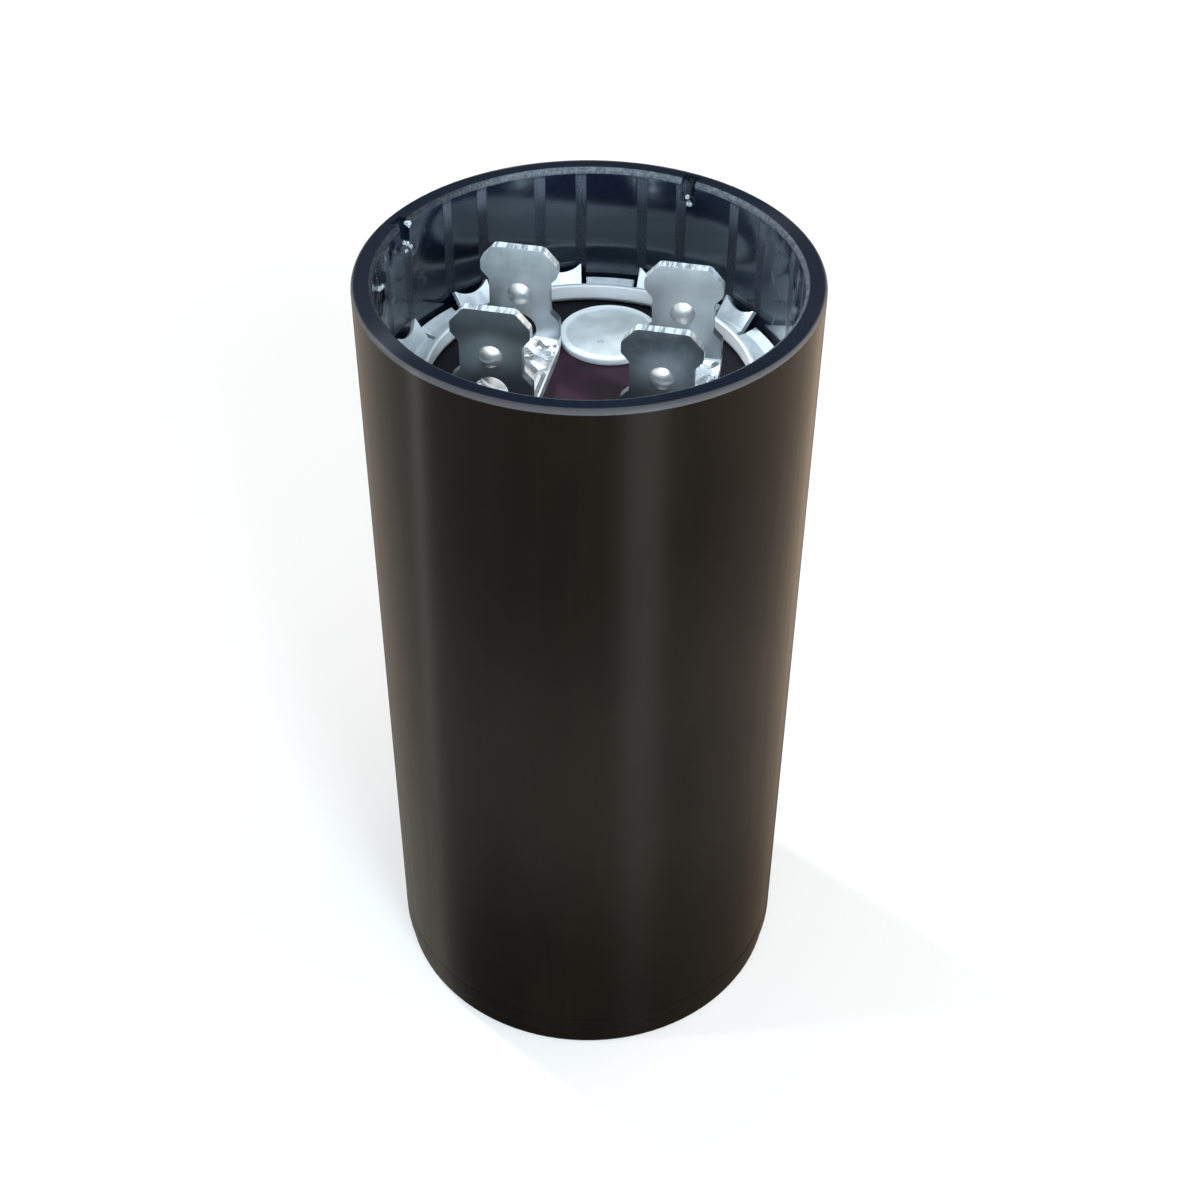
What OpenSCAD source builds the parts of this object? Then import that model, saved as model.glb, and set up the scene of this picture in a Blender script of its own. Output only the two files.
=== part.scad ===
// Motor start capacitor: a moulded cup, a wound section inside it, and a header disc with two
// double-blade terminals, held down in the mouth of the cup by a sprung ring with biting tabs.
// The base stands on z = 0, the axis is z, and the two terminals stand side by side along x.

/* [Case] */
// Outside diameter of the case
case_d = 36.5; // [35:0.1:42]
// Height of the case from its base to its rim
case_h = 73.4; // [60:0.1:90]
// Thickness of the wall beside the open recess at the top
rim_wall = 1.65; // [1.4:0.05:2.2]
// Width of the ledge inside the case that carries the gasket
ledge_w = 1.35; // [1:0.05:1.8]
// Thickness of the closed bottom
floor_t = 3; // [2:0.1:5]
// Height of the slightly narrower foot at the base
foot_h = 2.1; // [1.2:0.1:3]
// How far the foot steps in from the side of the case
foot_inset = 0.25; // [0.1:0.05:0.8]
// Rounding of the foot's lower edge
foot_round = 0.6; // [0.2:0.1:1]
// Height above the base of the faint line where the halves of the mould met
mould_line_z = 4; // [3.5:0.1:8]
// Width of that line
mould_line_w = 0.4; // [0.2:0.05:0.6]
// Depth of that line
mould_line_deep = 0.06; // [0.03:0.01:0.15]
// Rounding of the rim's outer edge
rim_round = 0.35; // [0.2:0.05:0.7]
// Chamfer of the rim's inner edge
rim_chamfer = 0.2; // [0.1:0.05:0.5]
// Width of each notch in the inner edge of the rim
notch_w = 1.3; // [0.8:0.1:3]
// How deep each notch goes into the wall
notch_deep = 0.9; // [0.4:0.05:1]
// How far each notch reaches down from the rim
notch_h = 2; // [1:0.1:4]
// Angle of the first notch about the axis
notch_first = 73; // [60:1:90]
// Angle from the first notch to the second
notch_apart = 92; // [70:1:110]

/* [Header and gasket] */
// Depth of the header disc's top below the rim
header_depth = 10.9; // [9:0.1:14]
// Thickness of the header disc
header_t = 2.4; // [1.6:0.1:4]
// Radial clearance of the header disc in the case
header_gap = 0.15; // [0.05:0.05:0.3]
// Thickness of the gasket under the header disc
gasket_t = 1.6; // [1:0.1:3]
// Radial clearance of the gasket in the case
gasket_gap = 0.05; // [0.02:0.01:0.2]

/* [Retaining ring] */
// Thickness of the ring's sheet
ring_sheet = 0.45; // [0.3:0.05:0.6]
// Width of the ring from its bore to the line where its tabs bend up
ring_w = 2.2; // [1.8:0.1:2.4]
// Height of the turned-up collar round the ring's bore
collar_h = 1.7; // [1.2:0.1:2.5]
// Inside radius of the ring's bends
ring_bend = 0.25; // [0.1:0.05:0.4]
// Number of tabs that bite into the wall
tabs = 12; // [8:1:14]
// Angle about the axis that one tab covers
tab_deg = 12; // [8:0.5:16]
// Angle of the first tab about the axis
tab_first = 20.7; // [0:0.1:30]
// Radial reach of a tab from its bend to its tip
tab_run = 1.3; // [1:0.05:1.6]
// Slope of a tab above the level
tab_slope = 53; // [35:1:60]
// Clearance of the tab tips from the wall
tip_gap = 0.05; // [0.02:0.01:0.1]
// Clearance from the wall of the lips between the tabs
lip_gap = 0.3; // [0.2:0.05:0.6]
// Slope of the lips between the tabs
lip_slope = 14; // [4:1:20]
// Width of the slit on each side of a tab
slit_w = 0.4; // [0.2:0.05:0.6]
// Radius of the hollow in a tab's outer edge
hollow_r = 2.4; // [2.2:0.1:4]
// Depth of that hollow
hollow_deep = 0.65; // [0.3:0.05:0.8]

/* [Terminals] */
// Distance between the centres of the two terminals
terminal_pitch = 13.4; // [12.8:0.1:15]
// Distance between the middles of a terminal's two blades
blade_gap = 9.3; // [8.4:0.1:9.8]
// Width of a blade
blade_w = 6.35; // [4.8:0.05:6.8]
// Thickness of the terminal's sheet
blade_t = 0.8; // [0.5:0.05:1]
// Height of the blades above the header disc
blade_h = 9.7; // [9:0.1:12]
// Width of the strip that joins a terminal's two blades
base_w = 6.5; // [6.2:0.1:7.2]
// Inside radius of the terminal's bends
blade_bend = 0.6; // [0.3:0.1:1]
// Width of the corner cut off a blade's top
corner_w = 1.15; // [0.6:0.05:1.6]
// Height of the corner cut off a blade's top
corner_h = 1.3; // [0.6:0.1:1.8]
// Rounding of a blade's corners
corner_round = 0.5; // [0.2:0.1:0.8]
// Height of a blade's full-width head
head_h = 2.25; // [2:0.05:3]
// Width of a blade's neck
neck_w = 5; // [3.8:0.1:5.6]
// Height of the neck between its two slopes
neck_h = 2.6; // [2:0.1:3.2]
// Height of each slope at the neck's ends
neck_slope_h = 0.75; // [0.6:0.05:1]
// Diameter of the detent dome pressed into a blade
detent_d = 2; // [1.4:0.1:2.4]
// Height of the detent dome
detent_h = 0.6; // [0.3:0.05:0.8]
// Diameter of the hollow behind the detent dome
detent_back_d = 1.3; // [0.8:0.1:1.6]
// Depth of that hollow
detent_back_h = 0.45; // [0.2:0.05:0.5]
// Distance of the detent's centre below the blade's top
detent_drop = 4.15; // [3:0.05:5]
// Diameter of the hole at a blade's foot
foot_hole_d = 2.7; // [1.5:0.1:2.8]
// Height of that hole's centre above the header disc
foot_hole_z = 2.35; // [1.6:0.05:2.4]

/* [Rivets and washers] */
// Diameter of a rivet's shank
rivet_d = 3; // [2:0.1:4]
// Diameter of a rivet's head
rivet_head_d = 5; // [4.6:0.1:6]
// Height of a rivet's head
rivet_head_h = 1; // [0.6:0.1:1.4]
// Diameter of a rivet's clinched end
clinch_d = 4.6; // [4.4:0.1:6]
// Height of a rivet's clinched end
clinch_h = 0.9; // [0.6:0.1:1.4]
// Radial clearance of a rivet in its holes
rivet_gap = 0.05; // [0.02:0.01:0.15]
// Outside diameter of a rivet's washer
washer_d = 7; // [6:0.1:8]
// Thickness of a rivet's washer
washer_t = 0.6; // [0.4:0.1:1]

/* [Vent plug] */
// Diameter of the vent plug's head
vent_d = 8.4; // [6:0.1:8.6]
// Height of the vent plug's head above the header disc
vent_h = 0.6; // [0.4:0.1:1]
// Space between the vent plug's head and the ring's collar
vent_margin = 0.9; // [0.5:0.1:1.2]
// Rounding of the head's upper edge
vent_round = 0.2; // [0.1:0.05:0.3]
// Depth of the shallow dish in the head's top
vent_dish = 0.12; // [0.05:0.01:0.2]
// Width of the rim round that dish
vent_rim = 0.6; // [0.4:0.1:1]
// Diameter of the vent plug's stem
vent_stem_d = 4.4; // [3:0.1:5]
// Diameter of the barb under the header disc
vent_barb_d = 5.6; // [5.2:0.1:6.4]
// Height of that barb
vent_barb_h = 1.4; // [0.8:0.1:2]
// Radial clearance of the stem in the header disc
vent_gap = 0.05; // [0.02:0.01:0.15]
// Diameter of the pinhole in the head
pinhole_d = 0.5; // [0.3:0.1:0.8]
// How far the pinhole lies in front of the head's middle
pinhole_off = 1.5; // [0:0.1:2.2]
// How far the pinhole lies to the left of the head's middle
pinhole_side = 0.4; // [0:0.1:1.5]

/* [Wound section] */
// Space between the wound section and the inside of the case
roll_gap = 0.75; // [0.4:0.05:2]
// Space between the wound section's top and the header disc
head_space = 8.5; // [6:0.1:14]
// Diameter of the hole left by the winding mandrel
mandrel_d = 5; // [3:0.1:8]
// Thickness of a lead tab
lead_t = 0.3; // [0.2:0.05:0.5]
// Width of a lead tab
lead_w = 4; // [3.4:0.1:5]
// Depth of a lead tab inside the wound section
lead_deep = 8; // [4:0.5:20]
// Space between a washer's edge and the upright part of a lead tab
lead_space = 0.5; // [0.3:0.1:1]
// Inside radius of a lead tab's bend
lead_bend = 0.4; // [0.2:0.1:0.8]
// Clearance of a lead tab in the wound section
lead_gap = 0.1; // [0.05:0.05:0.3]

/* [Hidden] */
$fn = 96;

// Number of straight steps in the arc of a rounded corner
arc_steps = 6;
// Small overrun of a cut past the face it opens
cut = 0.5;

case_r = case_d / 2;
wall_r = case_r - rim_wall;
bore_r = wall_r - ledge_w;
header_z = case_h - header_depth;
header_low = header_z - header_t;
ledge_z = header_low - gasket_t;
roll_r = bore_r - roll_gap;
roll_top = header_low - head_space;
tab_bend_r = wall_r - tip_gap - tab_run;
tab_root_r = tab_bend_r - (ring_bend + ring_sheet) * tan(tab_slope / 2) - slit_w;
collar_r = tab_bend_r - ring_w;
tip_z = tab_run * tan(tab_slope);
lip_run = tab_run + tip_gap - lip_gap;
rivet_x = terminal_pitch / 2;
lead_x = washer_d / 2 + lead_space;
vent_y = collar_r - vent_margin - vent_d / 2;

steel = "#b9bec3";
tin = "#a8adb0";
black = "#211d1b";
maroon = "#3d1f24";
alloy = "#c9ccd0";
grey = "#c4c9cb";
rubber = "#2b2b2d";
paper = "#8a7a5c";

function unit(v) = v / norm(v);

// Points of an arc of radius r that rounds the corner b between its neighbours a and c
function corner(a, b, c, r) =
    let (u = unit(a - b))
    let (w = unit(c - b))
    let (half = acos(u * w) / 2)
    let (middle = b + unit(u + w) * r / sin(half))
    let (start = b + u * r / tan(half) - middle)
    let (from = atan2(start.y, start.x))
    let (turn = -sign(cross(u, w)) * (180 - 2 * half))
    [for (i = [0:arc_steps]) let (at = from + turn * i / arc_steps) middle + r * [cos(at), sin(at)]];

// Outline through points [x, y, r], where r rounds that point's corner and 0 leaves it sharp
function eased(path) =
    let (n = len(path))
    let (flat = [for (p = path) [p.x, p.y]])
    [for (i = [0:n - 1]) each path[i].z > 0
        ? corner(flat[(i + n - 1) % n], flat[i], flat[(i + 1) % n], path[i].z)
        : [flat[i]]];

// The side of the axis that a left or right piece stands on
module on_side(side) {
    translate([side * rivet_x, 0, 0])
        children();
}

// Radius of the ball that stands h proud of a plane in a circle of diameter d
function ball_r(d, h) = (d * d / 4 + h * h) / (2 * h);

// Spherical cap of diameter d and height h on the plane z = 0
module cap(d, h) {
    ball = ball_r(d, h);
    intersection() {
        translate([0, 0, h - ball])
            sphere(ball);
        cylinder(d = 2 * d, h = 2 * h);
    }
}

// One-piece moulded cup with a stepped foot, a mould line, an inner ledge and two rim notches
module case() {
    color(black)
    difference() {
        rotate_extrude()
            polygon(eased([
                [0, 0, 0],
                [case_r - foot_inset, 0, foot_round],
                [case_r - foot_inset, foot_h, 0],
                [case_r, foot_h, 0],
                [case_r, mould_line_z - mould_line_w / 2, 0],
                [case_r - mould_line_deep, mould_line_z, 0],
                [case_r, mould_line_z + mould_line_w / 2, 0],
                [case_r, case_h, rim_round],
                [wall_r + rim_chamfer, case_h, 0],
                [wall_r, case_h - rim_chamfer, 0],
                [wall_r, ledge_z, 0],
                [bore_r, ledge_z, 0],
                [bore_r, floor_t, 0],
                [0, floor_t, 0]]));
        for (turn = [notch_first, notch_first + notch_apart])
            rotate([0, 0, turn])
                translate([wall_r - cut, -notch_w / 2, case_h - notch_h])
                    cube([notch_deep + cut, notch_w, notch_h + cut]);
    }
}

// Roll of foil and paper with its mandrel hole and a slot for each lead tab
module wound_section() {
    color(paper)
    difference() {
        translate([0, 0, floor_t])
            cylinder(r = roll_r, h = roll_top - floor_t);
        translate([0, 0, floor_t - cut])
            cylinder(d = mandrel_d, h = roll_top - floor_t + 2 * cut);
        for (side = [-1, 1])
            translate([side * (rivet_x + lead_x + lead_t / 2), 0, roll_top - lead_deep / 2 + cut / 2])
                cube([lead_t + 2 * lead_gap, lead_w + 2 * lead_gap, lead_deep + 2 * lead_gap + cut],
                    center = true);
    }
}

// Foil strip from the roll up to the underside of the header disc, bent over to a rivet
module lead_tab(side) {
    far = lead_x + lead_t;
    foot = roll_top - lead_deep;
    color(alloy)
    on_side(side)
    mirror([side < 0 ? 1 : 0, 0, 0])
    difference() {
        intersection() {
            rotate([90, 0, 0])
                linear_extrude(height = lead_w, center = true)
                    polygon(eased([
                        [-lead_w, header_low, 0],
                        [-lead_w, header_low - lead_t, 0],
                        [lead_x, header_low - lead_t, lead_bend],
                        [lead_x, foot, 0],
                        [far, foot, 0],
                        [far, header_low, lead_bend + lead_t]]));
            translate([0, 0, foot - cut])
                linear_extrude(height = header_low - foot + 2 * cut)
                    union() {
                        circle(d = lead_w);
                        translate([0, -lead_w / 2])
                            square([far + cut, lead_w]);
                    }
        }
        translate([0, 0, header_low - lead_t - cut])
            cylinder(d = rivet_d + 2 * rivet_gap, h = lead_t + 2 * cut);
    }
}

module lead_tab_left() lead_tab(-1);

module lead_tab_right() lead_tab(1);

// Rubber ring between the ledge and the header disc
module gasket() {
    outer = wall_r - gasket_gap;
    color(rubber)
    translate([0, 0, ledge_z])
        difference() {
            cylinder(r = outer, h = gasket_t);
            translate([0, 0, -cut])
                cylinder(r = bore_r, h = gasket_t + 2 * cut);
        }
}

// Laminated disc that closes the case, drilled for the rivets and the vent plug
module header_disc() {
    color(maroon)
    difference() {
        translate([0, 0, header_low])
            cylinder(r = wall_r - header_gap, h = header_t);
        for (side = [-1, 1])
            on_side(side)
                translate([0, 0, header_low - cut])
                    cylinder(d = rivet_d + 2 * rivet_gap, h = header_t + 2 * cut);
        translate([0, vent_y, header_low - cut])
            cylinder(d = vent_stem_d + 2 * vent_gap, h = header_t + 2 * cut);
    }
}

// Section of the ring between two tabs: upright collar, level floor and a lip near the wall
module ring_section() {
    lip_end = [tab_bend_r + lip_run, lip_run * tan(lip_slope)];
    up = ring_sheet * [-sin(lip_slope), cos(lip_slope)];
    polygon(eased([
        [collar_r, 0, ring_bend + ring_sheet],
        [tab_bend_r, 0, 0],
        [lip_end.x, lip_end.y, 0],
        [lip_end.x + up.x, lip_end.y + up.y, 0],
        [tab_bend_r - ring_sheet * tan(lip_slope / 2), ring_sheet, 0],
        [collar_r + ring_sheet, ring_sheet, ring_bend],
        [collar_r + ring_sheet, collar_h, 0],
        [collar_r, collar_h, 0]]));
}

// Section of one tab from the floor of the ring up to the wall
module tab_section() {
    up = ring_sheet * [-sin(tab_slope), cos(tab_slope)];
    tip = [tab_bend_r + tab_run, tip_z];
    root = tab_root_r - ring_sheet;
    polygon(eased([
        [root, 0, 0],
        [tab_bend_r, 0, ring_bend + ring_sheet],
        [tip.x, tip.y, 0],
        [tip.x + up.x, tip.y + up.y, 0],
        [tab_bend_r - ring_sheet * tan(tab_slope / 2), ring_sheet, ring_bend],
        [root, ring_sheet, 0]]));
}

// One tab along +x, with the hollow that leaves two sharp corners to bite the wall
module ring_tab() {
    difference() {
        rotate([0, 0, -tab_deg / 2])
            rotate_extrude(angle = tab_deg)
                tab_section();
        translate([tab_bend_r + tab_run, 0, tip_z])
            rotate([0, -tab_slope, 0])
                translate([hollow_r - hollow_deep, 0, 0])
                    cylinder(r = hollow_r, h = 4 * ring_sheet, center = true);
    }
}

// The space that a bent-up tab and its two slits leave in the ring's outer part
module tab_opening() {
    slit_deg = 2 * asin(slit_w / tab_root_r / 2);
    rotate([0, 0, -tab_deg / 2 - slit_deg])
        rotate_extrude(angle = tab_deg + 2 * slit_deg)
            translate([tab_root_r, -cut])
                square([wall_r - tab_root_r, ring_sheet + lip_run + 2 * cut]);
}

// Sprung channel ring that holds the header disc down
module retaining_ring() {
    color(steel)
    translate([0, 0, header_z]) {
        difference() {
            rotate_extrude()
                ring_section();
            for (i = [0:tabs - 1])
                rotate([0, 0, tab_first + i * 360 / tabs])
                    tab_opening();
        }
        for (i = [0:tabs - 1])
            rotate([0, 0, tab_first + i * 360 / tabs])
                ring_tab();
    }
}

// Front outline shared by both blades of a terminal, with height 0 on the header disc
module blade_outline() {
    half = blade_w / 2;
    neck = neck_w / 2;
    head_low = blade_h - head_h;
    neck_top = head_low - neck_slope_h;
    neck_low = neck_top - neck_h;
    foot_top = neck_low - neck_slope_h;
    right = [
        [base_w / 2, 0, 0],
        [base_w / 2, foot_top, corner_round],
        [neck, neck_low, corner_round],
        [neck, neck_top, corner_round],
        [half, head_low, corner_round],
        [half, blade_h - corner_h, corner_round],
        [half - corner_w, blade_h, corner_round]];
    left = [for (i = [len(right) - 1:-1:0]) [-right[i].x, right[i].y, right[i].z]];
    polygon(eased(concat(right, left)));
}

// Side outline of the strip bent up at both ends
module terminal_bend() {
    outer = (blade_gap + blade_t) / 2;
    inner = (blade_gap - blade_t) / 2;
    polygon(eased([
        [-outer, blade_h, 0],
        [-outer, 0, blade_bend + blade_t],
        [outer, 0, blade_bend + blade_t],
        [outer, blade_h, 0],
        [inner, blade_h, 0],
        [inner, blade_t, blade_bend],
        [-inner, blade_t, blade_bend],
        [-inner, blade_h, 0]]));
}

// One strip bent into two blades, with a detent dome and a foot hole in each
module terminal(side) {
    depth = blade_gap + 2 * blade_t;
    hollow_ball = ball_r(detent_back_d, detent_back_h);
    hollow_y = blade_t / 2 + hollow_ball - detent_back_h;
    color(tin)
    on_side(side)
    translate([0, 0, header_z])
    difference() {
        union() {
            intersection() {
                rotate([90, 0, 90])
                    linear_extrude(height = base_w, center = true)
                        terminal_bend();
                rotate([90, 0, 0])
                    linear_extrude(height = depth, center = true)
                        blade_outline();
            }
            for (end = [-1, 1])
                translate([0, (end * blade_gap - blade_t) / 2, blade_h - detent_drop])
                    rotate([90, 0, 0])
                        cap(detent_d, detent_h);
        }
        for (end = [-1, 1])
            translate([0, end * blade_gap / 2 + hollow_y, blade_h - detent_drop])
                sphere(hollow_ball);
        for (end = [-1, 1])
            translate([0, end * blade_gap / 2, foot_hole_z])
                rotate([90, 0, 0])
                    cylinder(d = foot_hole_d, h = blade_t + 2 * blade_bend, center = true);
        translate([0, 0, -cut])
            cylinder(d = rivet_d + 2 * rivet_gap, h = blade_t + 2 * cut);
    }
}

module terminal_left() terminal(-1);

module terminal_right() terminal(1);

// Rivet through a terminal, the header disc, a lead tab and a washer
module rivet(side) {
    seat = header_z + blade_t;
    grip_low = header_low - lead_t - washer_t;
    color(alloy)
    on_side(side) {
        translate([0, 0, seat])
            cap(rivet_head_d, rivet_head_h);
        translate([0, 0, grip_low - clinch_h / 2])
            cylinder(d = rivet_d, h = seat - grip_low + clinch_h / 2 + rivet_head_h / 2);
        translate([0, 0, grip_low])
            mirror([0, 0, 1])
                cap(clinch_d, clinch_h);
    }
}

module rivet_left() rivet(-1);

module rivet_right() rivet(1);

// Washer between a lead tab and a rivet's clinched end
module rivet_washer(side) {
    color(steel)
    on_side(side)
    translate([0, 0, header_low - lead_t - washer_t])
        difference() {
            cylinder(d = washer_d, h = washer_t);
            translate([0, 0, -cut])
                cylinder(d = rivet_d + 2 * rivet_gap, h = washer_t + 2 * cut);
        }
}

module rivet_washer_left() rivet_washer(-1);

module rivet_washer_right() rivet_washer(1);

// Soft plug in the header disc: dished head with a pinhole, stem and barb
module vent_plug() {
    head_r = vent_d / 2;
    stem_r = vent_stem_d / 2;
    barb_r = vent_barb_d / 2;
    dish_r = head_r - vent_rim;
    color(grey)
    translate([0, vent_y, 0])
    difference() {
        rotate_extrude()
            polygon(eased([
                [0, header_low - vent_barb_h, 0],
                [stem_r, header_low - vent_barb_h, 0],
                [barb_r, header_low, 0],
                [stem_r, header_low, 0],
                [stem_r, header_z, 0],
                [head_r, header_z, 0],
                [head_r, header_z + vent_h, vent_round],
                [dish_r, header_z + vent_h, 0],
                [dish_r - vent_dish, header_z + vent_h - vent_dish, 0],
                [0, header_z + vent_h - vent_dish, 0]]));
        translate([-pinhole_side, -pinhole_off, header_z + vent_h / 2])
            cylinder(d = pinhole_d, h = vent_h);
    }
}

case();
wound_section();
lead_tab_left();
lead_tab_right();
gasket();
header_disc();
retaining_ring();
terminal_left();
terminal_right();
rivet_left();
rivet_right();
rivet_washer_left();
rivet_washer_right();
vent_plug();
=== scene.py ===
# %% [markdown]
# # A motor start capacitor
# The part is a moulded cup with a wound roll inside it. A header disc closes its mouth, a sprung
# ring holds the disc down, and two terminals with two blades each stand on the disc. The solids
# come from the CAD frame with their true sizes, so this lesson never moves or resizes them: it
# gives them finishes, softens their edges and adds the small marks that handling leaves.

# %% Load the frame
import math
import random

import bmesh
import bpy
from mathutils import Matrix, Vector


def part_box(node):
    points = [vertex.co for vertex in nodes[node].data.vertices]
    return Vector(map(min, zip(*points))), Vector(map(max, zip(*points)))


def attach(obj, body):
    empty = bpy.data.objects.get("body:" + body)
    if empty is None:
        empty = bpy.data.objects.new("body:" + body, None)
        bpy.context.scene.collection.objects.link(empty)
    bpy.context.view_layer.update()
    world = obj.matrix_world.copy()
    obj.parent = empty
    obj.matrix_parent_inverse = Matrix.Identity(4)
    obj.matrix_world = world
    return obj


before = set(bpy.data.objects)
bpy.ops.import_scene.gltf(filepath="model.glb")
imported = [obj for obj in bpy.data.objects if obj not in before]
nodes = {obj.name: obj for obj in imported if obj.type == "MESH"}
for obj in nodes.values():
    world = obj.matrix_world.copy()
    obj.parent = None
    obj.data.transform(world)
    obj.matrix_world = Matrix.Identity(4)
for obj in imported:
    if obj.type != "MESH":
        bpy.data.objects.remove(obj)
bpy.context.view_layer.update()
MM = 0.001

# %% [markdown]
# ## Where the camera stands
# The photograph looks down into the recess from in front and a little to the right of the blades.
# The distance, tilt and lens were worked out from the ovals of the rim and the base. A camera
# could be aimed with a constraint, but a matrix made of three plain turns keeps the small roll of
# a hand-held picture, and every later view can move the camera freely.

# %% Camera
CAMERA_AT = Vector((26.48, -122.62, 149.73)) * MM
HEADING = math.radians(11.722)
TILT = math.radians(48.867)
ROLL = math.radians(0.460)
LENS = 56.652
SENSOR = 36

camera = bpy.data.objects.new("camera", bpy.data.cameras.new("camera"))
camera.data.lens = LENS
camera.data.sensor_width = SENSOR
camera.data.clip_start = 1 * MM
camera.matrix_world = (Matrix.Translation(CAMERA_AT) @ Matrix.Rotation(HEADING, 4, "Z")
                       @ Matrix.Rotation(TILT, 4, "X") @ Matrix.Rotation(ROLL, 4, "Z"))
bpy.context.scene.collection.objects.link(camera)
bpy.context.scene.camera = camera
bpy.context.scene.view_settings.view_transform = "Standard"
print("camera at", [round(v / MM, 1) for v in camera.matrix_world.translation], "mm")

# %% [markdown]
# ## Building a finish
# A finish is a material whose colour, roughness and bump come from texture nodes. The same few
# steps come back for every piece: take the place on the piece in millimetres, turn it into a
# height, a radius and an angle about the axis, make grain from noise, and blend. Every node could
# be wired by hand, but two small classes keep each finish below as short as a recipe. The first
# works on any node tree, so the floor and the surroundings use it too.

# %% Short ways to add nodes
class Nodes:
    """A node tree with short ways to add nodes to it."""

    def __init__(self, tree):
        self.tree = tree

    def node(self, kind, *values, **settings):
        """A node with these settings, and with values or links in its first inputs."""
        made = self.tree.nodes.new(kind)
        for name, value in settings.items():
            setattr(made, name, value)
        for value, socket in zip(values, made.inputs):
            self.join(value, socket)
        return made

    def join(self, value, socket):
        if isinstance(value, bpy.types.NodeSocket):
            self.tree.links.new(value, socket)
        else:
            socket.default_value = value

    def calc(self, operation, *values):
        return self.node("ShaderNodeMath", *values, operation=operation).outputs[0]

    def times(self, first, *others):
        for other in others:
            first = self.calc("MULTIPLY", first, other)
        return first

    def plus(self, first, second):
        return self.calc("ADD", first, second)

    def minus(self, first, second):
        return self.calc("SUBTRACT", first, second)

    def most(self, first, *others):
        for other in others:
            first = self.calc("MAXIMUM", first, other)
        return first

    def distance(self, first, second):
        """Length of a step that goes this far one way and that far at right angles to it."""
        squares = (self.calc("POWER", side, 2) for side in (first, second))
        return self.calc("SQRT", self.plus(*squares))

    def cosine(self, angle, turn):
        """1 where an angle in degrees equals the turn, and -1 on the opposite side."""
        return self.calc("COSINE", self.calc("RADIANS", self.minus(angle, turn)))

    def vector(self, operation, *values):
        made = self.node("ShaderNodeVectorMath", *values, operation=operation)
        return made.outputs["Value" if operation == "LENGTH" else "Vector"]

    def split(self, vector):
        return self.node("ShaderNodeSeparateXYZ", vector).outputs

    def ramp(self, value, low, high):
        """0 below low, 1 above high and a soft step between."""
        made = self.node("ShaderNodeMapRange", value, low, high, interpolation_type="SMOOTHSTEP")
        return made.outputs["Result"]

    def between(self, value, low, high, soft):
        """1 from low to high, with soft edges that wide."""
        return self.times(self.ramp(value, low - soft, low + soft),
                          self.ramp(value, high + soft, high - soft))

    def span(self, factor, low, high):
        """A number that goes from low to high as the factor goes from 0 to 1."""
        return self.node("ShaderNodeMapRange", factor, 0, 1, low, high).outputs["Result"]

    def mix(self, factor, first, second):
        made = self.node("ShaderNodeMix", factor, data_type="RGBA")
        # Inputs 6 and 7 of a Mix node are its two colours, and output 2 is their blend.
        for colour, socket in ((first, made.inputs[6]), (second, made.inputs[7])):
            self.join(colour if isinstance(colour, bpy.types.NodeSocket) else (*colour, 1), socket)
        return made.outputs[2]


print("short ways:", ", ".join(name for name in vars(Nodes) if not name.startswith("_")))

# %% A class for finishes
class Finish(Nodes):
    """A material with its shader, and the place on the piece in millimetres."""

    def __init__(self, name, constants):
        self.material = bpy.data.materials.new(name)
        self.material.use_nodes = True
        super().__init__(self.material.node_tree)
        self.shader = self.tree.nodes["Principled BSDF"]
        for socket, value in constants.items():
            self.shader.inputs[socket].default_value = value
        in_metres = self.node("ShaderNodeTexCoord").outputs["Object"]
        self.place = self.vector("MULTIPLY", in_metres, (1 / MM,) * 3)
        self.across, self.depth, self.height = self.split(self.place)

    def grain(self, per_mm, stretch=(1, 1, 1), detail=3, rough=0.55, bend=0, at=None):
        """Noise with about per_mm spots to the millimetre."""
        made = self.node("ShaderNodeTexNoise", self.vector("MULTIPLY", at or self.place, stretch))
        made.inputs["Scale"].default_value = per_mm
        made.inputs["Detail"].default_value = detail
        made.inputs["Roughness"].default_value = rough
        made.inputs["Distortion"].default_value = bend
        return made.outputs["Fac"]

    def around(self, centre=(0, 0)):
        """Radius in mm and angle in degrees about an upright line."""
        shift = self.vector("SUBTRACT", self.place, (*centre, 0))
        x, y, _ = self.split(shift)
        radius = self.vector("LENGTH", self.vector("MULTIPLY", shift, (1, 1, 0)))
        return radius, self.calc("DEGREES", self.calc("ARCTAN2", y, x))

    def facing_up(self):
        return self.split(self.node("ShaderNodeNewGeometry").outputs["Normal"])["Z"]

    def bump(self, height, strength, distance_mm):
        made = self.node("ShaderNodeBump")
        made.inputs["Strength"].default_value = strength
        made.inputs["Distance"].default_value = distance_mm * MM
        self.join(height, made.inputs["Height"])
        self.set("Normal", made.outputs["Normal"])

    def set(self, socket, value):
        self.join(value, self.shader.inputs[socket])

    def dress(self, *pieces):
        for piece in pieces:
            piece.data.materials.clear()
            piece.data.materials.append(self.material)
        print(self.material.name, "on", ", ".join(p.name for p in pieces))


print("a finish starts from the place on the piece, in units of", MM, "m")
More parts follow.
